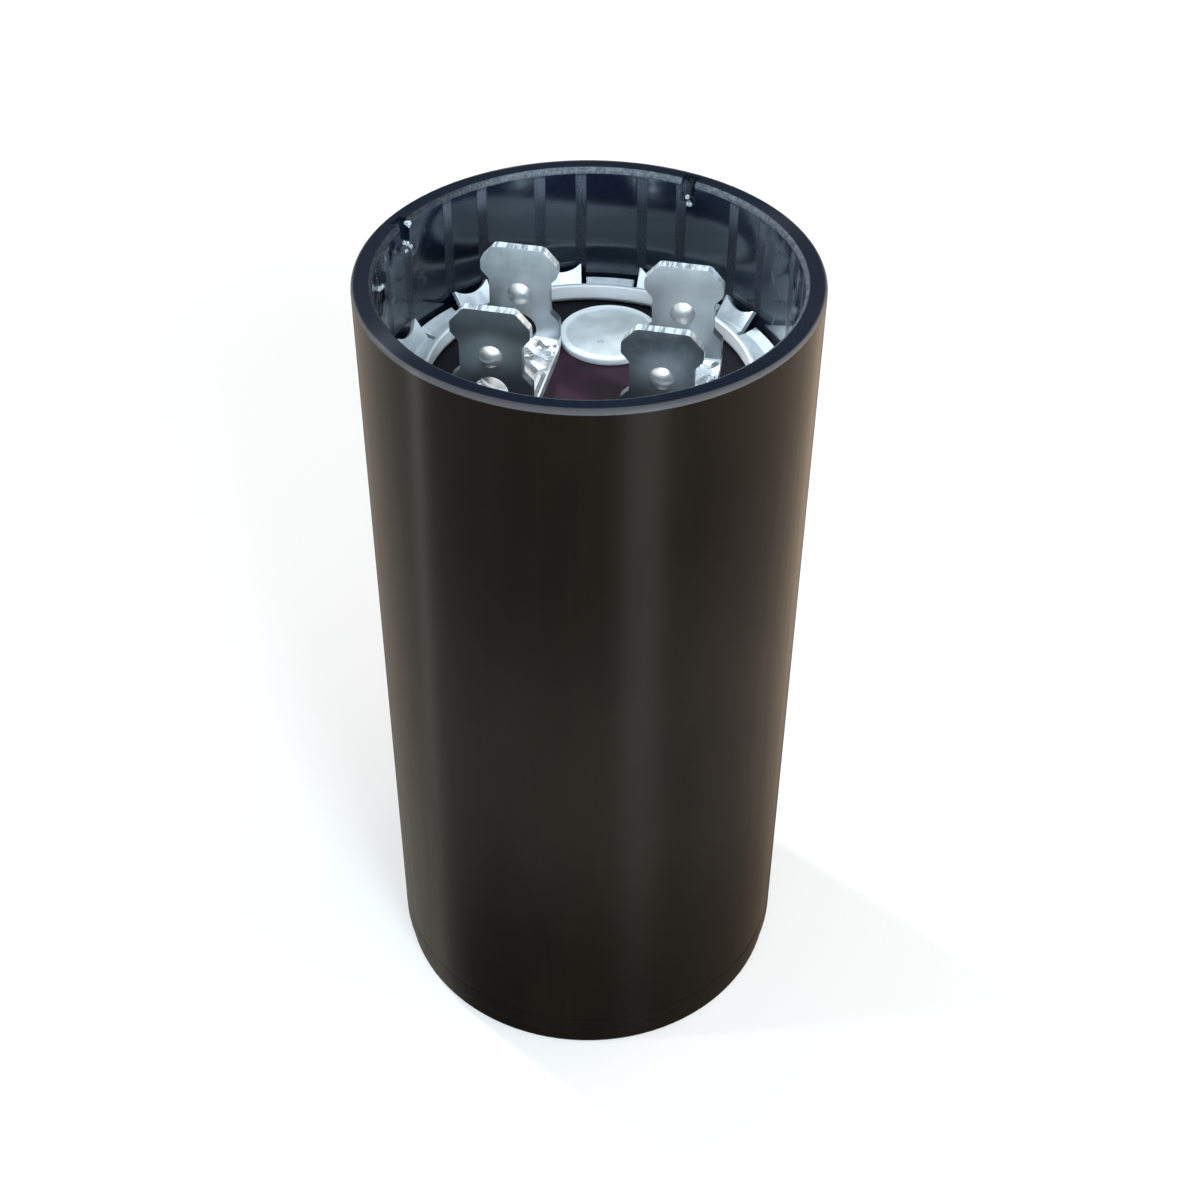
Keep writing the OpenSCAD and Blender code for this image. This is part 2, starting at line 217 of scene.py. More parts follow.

# %% [markdown]
# ## The case
# The cup is moulded in one piece from a filled black resin. Outside it is semi-gloss, and its
# slight brown is partly the resin's own and partly a painted warm reflection. It has faint upright
# streaks from sliding out of its mould, a paler middle band that is painted light, and a dull foot.
# Handling also leaves a thin warm haze, which shows where the side turns away. A weak sheen that
# grows with a
# Layer Weight, and fades again at the very edge, gives that from every side. Inside, above the
# header, the wall is smoother, and its blue-black is a painted cool reflection of the light above,
# painted paler on the right. The corners of the ring's tabs have scored it in matt stripes on their
# way down. Painting those marks by angle and height keeps them on the wall exactly where the tabs
# of the CAD ring are.

# %% Case sizes that the marks follow
WALL_R = 16.6
RIM_Z = 73.4
HEADER_Z = 62.5
TIP_Z = 64.2
TAB_FIRST = 20.7
TAB_STEP = 30
TAB_HALF = 6
SHOULDER_R = 17.80
LEFT_TURN = -168
print("rim at", RIM_Z, "mm, header disc at", HEADER_Z, "mm")

# %% Regions of the case
BORE_FROM_Z = HEADER_Z - 4.5
case = Finish("case_moulding", {
    "Anisotropic Rotation": 0.25, "Sheen Roughness": 0.30, "Sheen Tint": (0.90, 0.60, 0.36, 1)})
radius, angle = case.around()
height = case.height
rim_top = case.ramp(height, RIM_Z - 0.12, RIM_Z - 0.02)
inside = case.times(case.ramp(radius, SHOULDER_R - 0.1, SHOULDER_R - 0.3),
                    case.between(height, BORE_FROM_Z, RIM_Z - 0.17, 0.05))
outside = case.times(case.ramp(radius, SHOULDER_R - 0.05, SHOULDER_R + 0.1),
                     case.ramp(height, RIM_Z - 0.15, RIM_Z - 0.6))
from_left = case.cosine(angle, LEFT_TURN)
left_side = case.ramp(from_left, 0.55, 0.9)
sides = case.calc("ABSOLUTE", from_left)
print("skin outside, glossy bore above", BORE_FROM_Z, "mm")

# %% Case colours
LIGHT_BAND_Z = (21, 50)
LIGHT_BAND_SOFT = 9
streaks = case.grain(2.2, (1, 1, 0.02), detail=4, rough=0.6)
cloud = case.grain(0.09, (1, 1, 0.5), detail=3)
speckle = case.grain(7.0, detail=2)
streaky = case.times(case.ramp(streaks, 0.5, 0.85), 0.25)
# A band painted paler on the middle of the side is painted light.
light_band = case.times(case.between(height, *LIGHT_BAND_Z, LIGHT_BAND_SOFT), case.span(cloud, 0.3, 0.8), 0.22)
# This mask paints the right of the inner wall a paler navy: a painted reflection.
right_wall_reflection = case.times(case.ramp(from_left, -0.45, -0.85), case.span(cloud, 0.5, 1))

# The slight brown of the skin is partly the resin's own and partly a painted warm reflection.
skin = case.mix(case.ramp(cloud, 0.3, 0.7), (0.0015, 0.0010, 0.0007), (0.0030, 0.0021, 0.0014))
skin = case.mix(streaky, skin, (0.008, 0.006, 0.0045))
skin = case.mix(light_band, skin, (0.016, 0.013, 0.011))
# The blue of the bore is a painted cool reflection of the light above; the resin is black.
bore = case.mix(case.ramp(speckle, 0.35, 0.75), (0.0014, 0.0030, 0.0085), (0.0032, 0.0058, 0.0130))
bore = case.mix(right_wall_reflection, bore, (0.019, 0.025, 0.040))
# The blue of the rim's top is a painted cool reflection as well.
top = case.mix(case.ramp(speckle, 0.4, 0.7), (0.0026, 0.0050, 0.0110), (0.0050, 0.0085, 0.0165))
colour = case.mix(inside, skin, bore)
colour = case.mix(rim_top, colour, top)
print("palest from", LIGHT_BAND_Z[0], "to", LIGHT_BAND_Z[1], "mm up")

# %% Case shine and haze
DULL_Z = (44, 2)
HAZE_Z = (0, 62)
low_down = case.ramp(height, *DULL_Z)
facing = case.node("ShaderNodeLayerWeight").outputs["Facing"]
limb = case.ramp(facing, 0.45, 0.9)
shine = case.span(case.times(low_down, case.span(left_side, 1, 0)), 0.040, 0.011)
shine = case.plus(shine, case.times(low_down, left_side, 0.03))
shine = case.times(shine, case.span(limb, 1, 0.5))
haze = case.times(case.span(case.ramp(height, *HAZE_Z), 0.11, 0.27),
                  case.span(limb, 0.25, 1),
                  case.span(left_side, 1, 0.45),
                  case.span(case.ramp(sides, 0.45, 0.85), 0.25, 1),
                  case.span(case.ramp(facing, 0.86, 0.96), 1, 0.25))
case.set("Sheen Weight", case.times(haze, outside))
case.set("Specular Tint", case.mix(outside, (0.84, 0.94, 1.0), (1.0, 0.82, 0.66)))
case.set("Anisotropic", case.span(inside, 0.98, 0))
case.set("Tangent", case.node("ShaderNodeTangent", direction_type="RADIAL", axis="Z").outputs[0])
print("dull below", DULL_Z[0], "mm, haze up to", HAZE_Z[1], "mm")

# %% Score marks left by the tabs
SCORE_TO_Z = RIM_Z - 0.6
offset = case.plus(angle, 360 - TAB_FIRST + TAB_STEP / 2)
local = case.minus(case.calc("MODULO", offset, TAB_STEP), TAB_STEP / 2)
wobble = case.times(case.minus(case.grain(0.5, (1, 1, 0.5), detail=2), 0.5), 0.5)
from_corner = case.plus(case.minus(case.calc("ABSOLUTE", local), TAB_HALF), wobble)
from_corner = case.calc("ABSOLUTE", from_corner)
fine = case.grain(9.0, (1, 1, 0.04), detail=4, rough=0.7)
patchy = case.span(case.ramp(case.grain(0.3, (1, 1, 0.4), detail=3), 0.35, 0.65), 0.6, 1)
score = case.times(case.ramp(from_corner, 1.8, 1.3),
                   case.span(case.ramp(fine, 0.3, 0.7), 0.6, 1),
                   patchy,
                   case.between(height, TIP_Z, SCORE_TO_Z, 0.3),
                   inside)
scored = case.mix(case.ramp(height, RIM_Z - 3.8, RIM_Z - 1.4),
                  (0.019, 0.024, 0.033), (0.060, 0.070, 0.088))
colour = case.mix(case.times(score, 0.85), colour, scored)
print("score marks every", TAB_STEP, "degrees, tab centre plus and minus", TAB_HALF)

# %% A chip in the wall, painted as dark shade
CHIP_TURN = 184
CHIP_Z = 69.6
CHIP_HALF = (1.2, 0.7)
along_wall = case.times(case.plus(angle, 360 - CHIP_TURN), math.radians(WALL_R))
from_chip = case.distance(case.calc("DIVIDE", along_wall, CHIP_HALF[0]),
                           case.calc("DIVIDE", case.minus(height, CHIP_Z), CHIP_HALF[1]))
# The chip's hollow is not modelled; it is painted as a near-black spot, a painted shade.
chip_shade = case.times(case.ramp(case.plus(from_chip, wobble), 1.15, 0.75), inside)
colour = case.mix(chip_shade, colour, (0.0004, 0.0004, 0.0006))
shine = case.span(inside, shine, case.span(case.most(score, chip_shade), 0.9, 0.12))
print("gouge at", CHIP_TURN, "degrees,", CHIP_Z, "mm up")

# %% Scuffs, worn edges and a painted highlight on the shoulder
scuff = case.ramp(case.grain(0.55, (1, 1, 0.7), detail=6, rough=0.72, bend=1.2), 0.53, 0.68)
scuff = case.times(scuff, inside, case.ramp(sides, 0.72, 0.97))
colour = case.mix(case.times(scuff, 0.6), colour, (0.13, 0.15, 0.18))

rough_line = case.ramp(case.grain(3.2, detail=5, rough=0.75), 0.38, 0.62)
lip = case.times(case.between(radius, WALL_R - 0.1, WALL_R + 0.26, 0.05),
                 case.ramp(height, RIM_Z - 0.56, RIM_Z - 0.40))
case.set("Specular IOR Level", case.times(shine, case.span(lip, 1, 0)))
lip = case.times(lip,
                 case.span(rough_line, 0.45, 1),
                 case.span(case.ramp(fine, 0.35, 0.65), 0.6, 1),
                 case.span(case.ramp(from_left, 0.3, 0.8), 1, 0.3))
colour = case.mix(case.times(lip, 0.85), colour, (0.135, 0.150, 0.170))
# The pale band on the outer rounding of the rim is a painted highlight, narrower at the sides.
highlight_from = case.span(case.ramp(sides, 0.35, 0.9), SHOULDER_R - 0.06, SHOULDER_R + 0.18)
shoulder_highlight = case.times(case.ramp(case.minus(radius, highlight_from), 0, 0.12),
                      case.ramp(height, RIM_Z - 0.36, RIM_Z - 0.28))
colour = case.mix(case.times(shoulder_highlight, 0.8), colour, (0.050, 0.047, 0.050))
# The shoulder named in this print carries the painted highlight.
print("worn lip at radius", WALL_R, "mm and worn shoulder from", SHOULDER_R, "mm")

# %% Case gloss and bump
worn = case.most(score, scuff, lip)
outer_gloss = case.span(case.ramp(streaks, 0.3, 0.8), 0.38, 0.43)
bore_gloss = case.span(case.ramp(speckle, 0.3, 0.8), 0.07, 0.14)
gloss = case.plus(case.times(outer_gloss, case.span(inside, 1, 0)), case.times(bore_gloss, inside))
relief = case.plus(case.times(streaks, 0.15), case.times(speckle, 0.25))
case.set("Base Color", colour)
case.set("Roughness", case.plus(gloss, case.times(worn, 0.3)))
case.bump(case.minus(relief, case.times(worn, 1.5)), 0.2, 0.03)
case.dress(nodes["case"])

# %% [markdown]
# ## Torn resin at the notches
# The two notches and a chip were broken into the wall near the rim, and a few pale crumbs of
# resin still cling beside them. The chip has no shape of its own: its hollow is painted on the wall
# as a dark spot, a painted shade. The crumbs could be painted on, but real lumps catch the light
# from every side. Each one is a small ball pushed out of shape and half sunk in the wall.

# %% Crumbs
# Turn in degrees, height and radius in mm of each crumb.
CRUMBS = ((72.9, 71.95, 0.22), (72.3, 71.35, 0.28), (163.0, 73.0, 0.30), (165.6, 71.6, 0.20),
          (164.2, 71.3, 0.22), (165.0, 70.8, 0.18), (162.7, 70.9, 0.20),
          (185.4, 70.75, 0.24), (183.5, 70.5, 0.20), (181.8, 70.35, 0.17))
CRUMB_UNEVEN = (0.65, 1.2)
CRUMB_SEED = 7


def placed(name, bm):
    """An object of this mesh, put into the scene."""
    mesh = bpy.data.meshes.new(name)
    bm.to_mesh(mesh)
    bm.free()
    made = bpy.data.objects.new(name, mesh)
    bpy.context.scene.collection.objects.link(made)
    return made


chance = random.Random(CRUMB_SEED)
bm = bmesh.new()
for turn, up_mm, size in CRUMBS:
    middle = Matrix.Rotation(math.radians(turn), 3, "Z") @ Vector((WALL_R, 0, up_mm)) * MM
    lump = bmesh.ops.create_icosphere(bm, subdivisions=2, radius=size * MM,
                                      matrix=Matrix.Translation(middle))
    for corner in lump["verts"]:
        corner.co = middle + (corner.co - middle) * chance.uniform(*CRUMB_UNEVEN)
crumbs = placed("crumbs", bm)
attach(crumbs, "root")

torn = Finish("torn_resin", {"Specular IOR Level": 0.3})
broken = torn.grain(6.0, detail=4, rough=0.7)
torn.set("Base Color", torn.mix(torn.ramp(broken, 0.35, 0.65),
                                (0.10, 0.115, 0.135), (0.46, 0.50, 0.54)))
torn.set("Roughness", torn.span(broken, 0.5, 0.8))
torn.dress(crumbs)
print(len(CRUMBS), "crumbs beside the notches and the gouge")

# %% [markdown]
# ## The header disc
# The disc is pressed from layers of resin-soaked paper. Its face is a dark maroon with a fine
# mottle of fibres and a weak gloss, and near the ring it is painted near black as painted shade. A
# scan of real board could be laid on it, but two noises do it without a picture and at any
# distance: a fine one for the fibres and a slow one for the uneven resin. The painted shade follows
# the radius.

# %% Header finish
SHADE_R = (8.0, 11.0)
header = Finish("header_board", {"Specular IOR Level": 0.15})
fibres = header.grain(4.5, (1, 0.35, 1), detail=5, rough=0.7, bend=0.6)
resin = header.grain(0.35, detail=3)
pale_fibres = header.times(header.ramp(fibres, 0.55, 0.8), 0.5)
radius, _ = header.around()
# Painted shade: the disc is darkened towards the ring.
painted_shade = header.ramp(radius, *SHADE_R)
colour = header.mix(header.ramp(resin, 0.3, 0.7), (0.016, 0.0085, 0.016), (0.032, 0.0125, 0.023))
colour = header.mix(pale_fibres, colour, (0.060, 0.036, 0.050))
colour = header.mix(header.times(painted_shade, 0.9), colour, (0.0025, 0.0030, 0.0060))
header.set("Base Color", colour)
header.set("Roughness", header.plus(header.span(fibres, 0.30, 0.50), header.times(painted_shade, 0.3)))
header.bump(fibres, 0.2, 0.02)
header.dress(nodes["header_disc"])

# %% [markdown]
# ## The retaining ring
# The ring is stamped from spring steel and plated, so it is bright and a little blue. Drawing
# and plating leave a fine grain round the ring and soft clouds in the gloss, which break up the
# reflections more than they change the colour. Its collar is painted paler as painted light, and
# one side is painted darker as painted shade.

# %% Ring finish
COLLAR_R = 13.05
RING_SHADE_TURN = -160
LINES_PER_MM = 6.0
LINES_PER_DEGREE = 0.05
ring = Finish("ring_steel", {})
radius, angle = ring.around()
along = ring.node("ShaderNodeCombineXYZ", ring.times(radius, LINES_PER_MM),
                  ring.times(angle, LINES_PER_DEGREE), ring.height)
lines = ring.grain(1.6, detail=4, at=along.outputs[0])
clouds = ring.grain(0.8, detail=4, rough=0.6)
# The collar is painted paler: painted light.
collar = ring.times(ring.ramp(radius, COLLAR_R + 0.3, COLLAR_R + 0.1),
                    ring.ramp(ring.height, HEADER_Z + 0.3, HEADER_Z + 0.7))
# The dull mask paints one side of the ring darker: painted shade.
dull = ring.times(ring.ramp(ring.cosine(angle, RING_SHADE_TURN), 0.80, 0.97), 0.6)
colour = ring.mix(ring.ramp(clouds, 0.3, 0.75), (0.53, 0.60, 0.66), (0.69, 0.76, 0.81))
colour = ring.mix(collar, colour, (0.93, 0.97, 1.0))
gloss = ring.span(ring.times(ring.plus(clouds, lines), 0.5), 0.42, 0.66)
ring.set("Base Color", ring.mix(dull, colour, (0.30, 0.35, 0.39)))
ring.set("Metallic", ring.span(collar, 0.62, 0.25))
ring.set("Roughness", ring.plus(gloss, ring.times(collar, 0.12)))
ring.bump(lines, 0.15, 0.015)
ring.dress(nodes["retaining_ring"])

# %% [markdown]
# ## The blade terminals
# Each terminal is one strip of tinned brass, bent up into two blades. The faces have a drawn
# grain that runs up the blade and a soft grey bloom. Painted shade darkens them towards the foot.
# The outer faces of the front blades are painted dark, a painted reflection of the dark wall in
# front of them, less so round the detent domes, which carry a painted highlight, strongest on the
# front blades. The strip between the blades is painted paler as painted light, and so is the right
# terminal against the left one. The sheared top edges show a row of fine dashes, so they get their
# own mask from the direction that the surface faces. One finish with masks by height, depth and
# distance from the dome does it all, because the strip is one piece.

# %% Terminal sizes that the marks follow
TERMINAL_X = 6.7
BLADE_Y = 4.65
BLADE_TOP = 72.2
DETENT_Z = 68.05
DETENT_R = 1.0
STRIP_TOP = 63.3
SHEET_HALF = 0.4
FRONT_FACE_Y = -BLADE_Y - SHEET_HALF
DARK_REFLECTION_Z = (68.8, 70.6)
print("blades at x", TERMINAL_X, "and y", BLADE_Y, "mm, tops at", BLADE_TOP, "mm")

# %% Regions of the terminals
terminal = Finish("terminal_tin", {"Metallic": 0.78})
across, depth, height = terminal.across, terminal.depth, terminal.height
drawn = terminal.grain(5.0, (1, 1, 0.05), detail=4, rough=0.6)
bloom = terminal.grain(0.5, detail=4, rough=0.6)
sparkle = terminal.grain(3.0, (1, 0.12, 1), detail=3, rough=0.7)

sheared = terminal.times(terminal.ramp(terminal.facing_up(), 0.45, 0.8),
                         terminal.ramp(height, BLADE_TOP - 2.0, BLADE_TOP - 1.6))
strip = terminal.ramp(height, STRIP_TOP + 0.95, STRIP_TOP + 0.75)
from_middle = terminal.minus(terminal.calc("ABSOLUTE", across), TERMINAL_X)
from_detent = terminal.distance(from_middle, terminal.minus(height, DETENT_Z))
dome = terminal.ramp(from_detent, DETENT_R + 0.1, DETENT_R - 0.15)
on_right = terminal.ramp(across, -3, 3)
# Painted shade: the blades are painted darker towards the foot.
foot_shade = terminal.ramp(height, BLADE_TOP - 2.4, STRIP_TOP + 2.2)
front_face = terminal.ramp(depth, FRONT_FACE_Y + 0.2, FRONT_FACE_Y + 0.05)
left_share = terminal.span(terminal.ramp(height, *DARK_REFLECTION_Z), 0.5, 0.85)
kept_near_dome = terminal.span(on_right, 0.3, 0.75)
# Painted reflection: the outer faces of the front blades are painted dark for the dark wall they
# face, less round the domes.
painted_dark_reflection = terminal.times(front_face,
                         terminal.span(on_right, left_share, 0.93),
                         terminal.span(terminal.ramp(bloom, 0.3, 0.7), 0.8, 1),
                         terminal.span(terminal.ramp(from_detent, 2.8, 1.3), 1, kept_near_dome))
print("tarnish grows from", DARK_REFLECTION_Z[0], "to", DARK_REFLECTION_Z[1], "mm up on the left")

# %% Terminal finish
colour = terminal.mix(terminal.ramp(bloom, 0.3, 0.7), (0.50, 0.56, 0.59), (0.68, 0.74, 0.77))
# Painted light: the right terminal is painted paler than the left one.
colour = terminal.mix(terminal.times(on_right, 0.5), colour, (0.80, 0.86, 0.89))
colour = terminal.mix(terminal.times(terminal.ramp(drawn, 0.45, 0.8), 0.25), colour,
                      (0.66, 0.73, 0.77))
colour = terminal.mix(terminal.times(foot_shade, 0.9), colour, (0.15, 0.17, 0.185))
colour = terminal.mix(painted_dark_reflection, colour, (0.105, 0.13, 0.155))
# Painted highlight: the detent domes are painted near white, mostly on the front blades.
dome_highlight = terminal.times(dome, terminal.span(terminal.ramp(depth, 1, -1), 0.3, 0.9))
colour = terminal.mix(dome_highlight, colour, (0.95, 0.97, 0.98))
# Painted light: the strip between the blades is painted near white.
colour = terminal.mix(strip, colour, (0.90, 0.95, 0.97))
dashes = terminal.mix(terminal.ramp(sparkle, 0.40, 0.62), (0.20, 0.25, 0.29), (0.64, 0.75, 0.84))
terminal.set("Base Color", terminal.mix(sheared, colour, dashes))

gloss = terminal.plus(terminal.times(drawn, 0.6), terminal.times(bloom, 0.4))
satin_dome = terminal.times(dome, terminal.ramp(depth, -1, 1))
rougher = terminal.times(terminal.most(sheared, strip, satin_dome), 0.12)
terminal.set("Roughness", terminal.plus(terminal.span(gloss, 0.22, 0.42), rougher))
relief = terminal.plus(terminal.times(drawn, 0.15), terminal.times(sparkle, sheared, 3.0))
terminal.bump(relief, 0.25, 0.03)
terminal.dress(nodes["terminal_left"], nodes["terminal_right"])

# %% [markdown]
# ## Wrinkled tin on the strips
# Setting the rivet squeezes the soft tin on the strip between the blades, and it wrinkles like
# foil. The wrinkles could be a bump, but at this size their facets flash one by one, so they are
# a thin closed skin that follows the strip and the bend at the rear blade. A few straight folds
# with chance directions add up to the creases.

# %% How the skin lies on the strip
SKIN_HALF = 3.1
BEND_R = 0.6
STRIP_FROM = -3.5
STRIP_LONG = 8.15
SKIN_SUNK = 0.05
SKIN_LIFT = 0.03
SKIN_EDGE = 0.5
CREASE_MIDDLE = 0.22
CREASE_SWING = 0.2
CREASE_PER_MM = 1.1


def strip_point(along, lift):
    """Point (y, z) at a place along the strip, lifted off its face; the last part is the bend."""
    flat_to = BLADE_Y - SHEET_HALF - BEND_R
    if along <= flat_to:
        return along, STRIP_TOP + lift
    swing = min((along - flat_to) / BEND_R, math.pi / 2)
    reach = BEND_R - lift
    rise = max(along - flat_to - BEND_R * math.pi / 2, 0)
    return (flat_to + reach * math.sin(swing),
            STRIP_TOP + BEND_R - reach * math.cos(swing) + rise)


def crumpled(x, along, folds):
    """Lift of the crumpled face; it dies out towards the edges."""
    crease = sum(sign * abs(c * x + s * along - at) for c, s, at, sign in folds)
    inset = min(SKIN_HALF - abs(x), along - STRIP_FROM, STRIP_FROM + STRIP_LONG - along)
    wave = CREASE_MIDDLE + CREASE_SWING * math.sin(CREASE_PER_MM * crease)
    return SKIN_LIFT + min(inset / SKIN_EDGE, 1) * wave


print("skins", 2 * SKIN_HALF, "mm wide and", STRIP_LONG, "mm long")

# %% Wrinkled skins
SKIN_CELLS = (22, 28)
FOLDS = 5
FOLD_REACH = 2.4


def chance_folds(chance):
    folds = []
    for _ in range(FOLDS):
        turn = chance.uniform(0, math.pi)
        folds.append((math.cos(turn), math.sin(turn), chance.uniform(-FOLD_REACH, FOLD_REACH),
                      chance.choice((-1, 1))))
    return folds


def wrinkled_skin(name, side, seed):
    folds = chance_folds(random.Random(seed))
    wide, long = SKIN_CELLS
    bm = bmesh.new()

    def layer(lift_at):
        rows = []
        for j in range(long + 1):
            along = STRIP_FROM + j * STRIP_LONG / long
            row = []
            for i in range(wide + 1):
                x = -SKIN_HALF + i * 2 * SKIN_HALF / wide
                y, z = strip_point(along, lift_at(x, along))
                row.append(bm.verts.new(Vector((side * TERMINAL_X + x, y, z)) * MM))
            rows.append(row)
        return rows

    upper = layer(lambda x, along: crumpled(x, along, folds))
    lower = layer(lambda x, along: -SKIN_SUNK)
    for j in range(long):
        for i in range(wide):
            a, b, c, d = upper[j][i], upper[j][i + 1], upper[j + 1][i + 1], upper[j + 1][i]
            for face in ((a, b, c), (a, c, d)) if (i + j) % 2 else ((a, b, d), (b, c, d)):
                bm.faces.new(face)
            bm.faces.new((lower[j][i], lower[j + 1][i], lower[j + 1][i + 1], lower[j][i + 1]))
    loop = [(0, i) for i in range(wide)] + [(j, wide) for j in range(long)]
    loop += [(long, i) for i in range(wide, 0, -1)] + [(j, 0) for j in range(long, 0, -1)]
    for (j, i), (q, p) in zip(loop, loop[1:] + loop[:1]):
        bm.faces.new((upper[j][i], lower[j][i], lower[q][p], upper[q][p]))
    bmesh.ops.recalc_face_normals(bm, faces=bm.faces)
    skin = placed(name, bm)
    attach(skin, "root")
    return skin


skins = [wrinkled_skin("wrinkled_tin_left", side=-1, seed=11),
         wrinkled_skin("wrinkled_tin_right", side=1, seed=4)]
print("wrinkled skins of", len(skins[0].data.polygons), "faces each")

# %% Wrinkled tin finish
foil = Finish("wrinkled_tin", {"Metallic": 0.85})
smear = foil.grain(1.5, detail=4, rough=0.6)
colour = foil.mix(smear, (0.86, 0.91, 0.94), (0.97, 0.99, 1.0))
# Painted shade: the skin on the right terminal is painted darker.
right_foil_shade = foil.times(foil.ramp(foil.across, -3, 3), 0.48)
foil.set("Base Color", foil.mix(right_foil_shade, colour, (0.36, 0.41, 0.45)))
foil.set("Roughness", foil.span(smear, 0.16, 0.32))
foil.bump(smear, 0.2, 0.05)
foil.dress(*skins)

# %% [markdown]
# ## The rivets and their washers
# Soft rivets join each terminal to its lead. The setting tool leaves the heads satin with small
# dents. Each dent could be modelled, but they are too small to show as shapes, so the finish is a
# plain pale metal with a coarse and a fine grain.

# %% Rivet finish
RIVET_PIECES = ("rivet_left", "rivet_right", "rivet_washer_left", "rivet_washer_right")
rivet = Finish("rivet_metal", {"Metallic": 1.0})
dents = rivet.grain(1.6, detail=3)
scratches = rivet.grain(6.0, (1, 0.2, 1), detail=4, rough=0.7)
rivet.set("Base Color", rivet.mix(dents, (0.62, 0.64, 0.66), (0.82, 0.84, 0.86)))
rivet.set("Roughness", rivet.span(scratches, 0.18, 0.42))
rivet.bump(dents, 0.3, 0.06)
rivet.dress(*(nodes[name] for name in RIVET_PIECES))

# %% [markdown]
# ## The vent plug
# The plug is soft pale rubber. If gas builds up inside the case it bursts at its pinhole. It is
# nearly matt, with a paler ring at the edge, where the mould pressed it, and light dust. The ring
# could be a piece of its own, but it is the same rubber, so the colour follows the radius instead.

# %% Vent plug finish
PALE_RING_R = (3.45, 3.75)
vent = Finish("vent_rubber", {"Specular IOR Level": 0.35})
plug_low, plug_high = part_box("vent_plug")
plug_middle = tuple(v / MM for v in ((plug_low + plug_high) / 2)[:2])
radius, _ = vent.around(plug_middle)
dust = vent.grain(3.0, detail=5, rough=0.7)
stain = vent.grain(0.45, detail=3, bend=0.5)
colour = vent.mix(vent.ramp(stain, 0.3, 0.75), (0.46, 0.50, 0.52), (0.60, 0.64, 0.66))
colour = vent.mix(vent.ramp(radius, *PALE_RING_R), colour, (0.76, 0.81, 0.84))
colour = vent.mix(vent.times(vent.ramp(dust, 0.58, 0.8), 0.35), colour, (0.36, 0.38, 0.39))
vent.set("Base Color", colour)
vent.set("Roughness", vent.span(dust, 0.42, 0.62))
vent.bump(dust, 0.15, 0.02)
vent.dress(nodes["vent_plug"])

# %% [markdown]
# ## What the case hides
# The roll, its leads and the gasket can't be seen in the assembled part, but someone who takes
# the model apart should find them finished too. Hundreds of real turns would make a heavy mesh for
# something so rarely seen, so the solid roll shows the edges of its turns as a spiral in its
# colour, made from radius and angle together.

# %% Roll
TURN_PITCH = 0.35
roll = Finish("wound_paper", {"Specular IOR Level": 0.3})
radius, angle = roll.around()
turns = roll.calc("FRACT", roll.minus(roll.calc("DIVIDE", radius, TURN_PITCH),
                                      roll.calc("DIVIDE", angle, 360)))
on_end = roll.ramp(roll.calc("ABSOLUTE", roll.facing_up()), 0.5, 0.8)
foil_edges = roll.times(roll.between(turns, 0.55, 0.85, 0.08), on_end)
damp = roll.grain(0.4, (1, 1, 0.6), detail=4)
colour = roll.mix(damp, (0.36, 0.28, 0.17), (0.56, 0.47, 0.33))
roll.set("Base Color", roll.mix(foil_edges, colour, (0.50, 0.51, 0.52)))
roll.set("Roughness", roll.span(damp, 0.45, 0.75))
roll.bump(turns, 0.2, 0.05)
roll.dress(nodes["wound_section"])

# %% Leads and gasket
lead = Finish("lead_foil", {"Metallic": 1.0})
crease = lead.grain(1.2, (1, 1, 0.4), detail=4)
lead.set("Base Color", lead.mix(crease, (0.70, 0.71, 0.73), (0.86, 0.87, 0.88)))
lead.set("Roughness", lead.span(crease, 0.22, 0.45))
lead.bump(crease, 0.3, 0.05)
lead.dress(nodes["lead_tab_left"], nodes["lead_tab_right"])

gasket = Finish("gasket_rubber", {"Specular IOR Level": 0.3})
talc = gasket.grain(2.5, detail=4, rough=0.7)
gasket.set("Base Color", gasket.mix(gasket.ramp(talc, 0.5, 0.85),
                                    (0.018, 0.018, 0.019), (0.07, 0.07, 0.07)))
gasket.set("Roughness", gasket.span(talc, 0.6, 0.9))
gasket.dress(nodes["gasket"])

# %% [markdown]
# ## Softening the edges
# No stamped or moulded edge is perfectly sharp, and it is the tiny rounding that catches the
# light. The solids are never edited, so the rounding is a stack of modifiers: weld the split
# corners of the import, merge flat triangles, bevel only what turns sharply, and even out the
# shading.

# %% Edge softening
WELD_MM = 0.002
FLAT_DEGREES = 0.2
SHARP_DEGREES = 32
BEVEL_STEPS = 2
# Width of the rounding in mm.
EDGE_WIDTH = {"case": 0.08, "retaining_ring": 0.05, "terminal_left": 0.07, "terminal_right": 0.07,
              "vent_plug": 0.06, "header_disc": 0.1}


def soften(piece, width_mm):
    weld = piece.modifiers.new("weld", "WELD")
    weld.merge_threshold = WELD_MM * MM
    flat = piece.modifiers.new("merge_flat", "DECIMATE")
    flat.decimate_type = "DISSOLVE"
    flat.angle_limit = math.radians(FLAT_DEGREES)
    bevel = piece.modifiers.new("soft_edges", "BEVEL")
    bevel.width = width_mm * MM
    bevel.segments = BEVEL_STEPS
    bevel.limit_method = "ANGLE"
    bevel.angle_limit = math.radians(SHARP_DEGREES)
    bevel.harden_normals = True
    shade = piece.modifiers.new("even_shading", "WEIGHTED_NORMAL")
    shade.keep_sharp = True


for name, width in EDGE_WIDTH.items():
    soften(nodes[name], width)
print("softened", ", ".join(EDGE_WIDTH))

# %% [markdown]
# ## The floor and the light
# A product picture like this one has a white ground. The floor is a pale sheet that is white to
# the camera and in reflections. A lamp on a white sheet could do that, but here a share of the
# brightness is the floor's own, so the part needs no more light. To the camera the sheet itself
# is greyer, which leaves a soft shadow round the foot. Far out the floor fades into the white of
# the surroundings.

